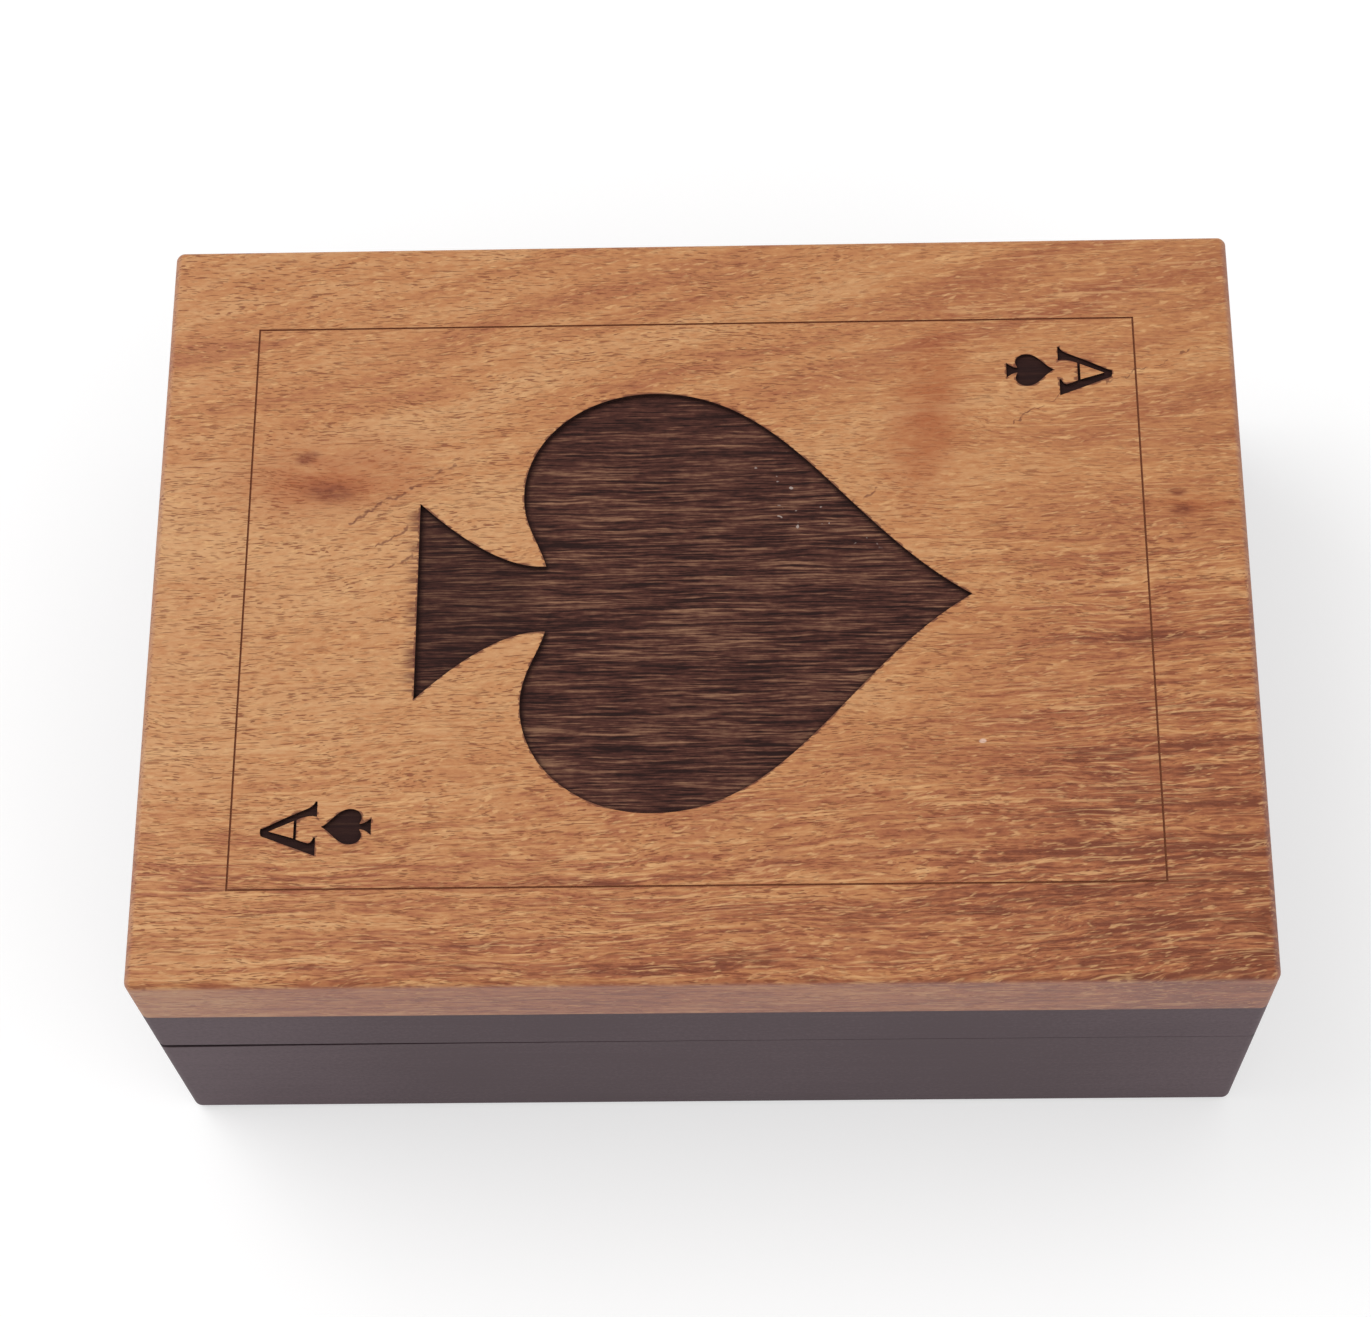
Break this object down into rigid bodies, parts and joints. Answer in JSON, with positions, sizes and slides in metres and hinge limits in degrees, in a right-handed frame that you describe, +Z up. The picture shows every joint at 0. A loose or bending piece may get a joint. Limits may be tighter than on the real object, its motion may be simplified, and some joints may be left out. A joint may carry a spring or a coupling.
{
  "type": "playing card box",
  "caption": "Small wooden box with a thick top plate engraved as an ace of spades and a dark painted casing, whose front pulls out as a lined drawer for a deck of cards.",
  "frame": {"origin": "centre of the box's rectangular footprint, on its underside", "axes": "+X along the long side, to the right as seen from the drawer front; +Y to the back, so the drawer slides out along -Y; +Z up"},
  "size_m": [0.12, 0.0886, 0.045],
  "materials": {
    "top_wood": "oiled, with a soft sheen; the engraving is burnt dark brown",
    "painted_wood": "satin dark grey-brown paint",
    "drawer_wood": "sanded, bare",
    "base_ply": "thin plywood, sanded, bare",
    "felt": "short-napped felt",
    "steel": "bright wire brads"
  },
  "bodies": {
    "casing": {"top_plate": "top_wood", "upper_board": "painted_wood", "left_side": "painted_wood", "right_side": "painted_wood", "back_board": "painted_wood", "base_panel": "base_ply", "base_brads": "steel"},
    "drawer": {"drawer_front": "painted_wood", "drawer_left_side": "drawer_wood", "drawer_right_side": "drawer_wood", "drawer_back": "drawer_wood", "drawer_bottom": "base_ply", "drawer_lining": "felt", "drawer_brads": "steel"}
  },
  "joints": [
    {"name": "drawer_slide", "type": "slide", "parent": "casing", "child": "drawer", "axis": [0, -1, 0], "range_m": [0, 0.064]}
  ]
}
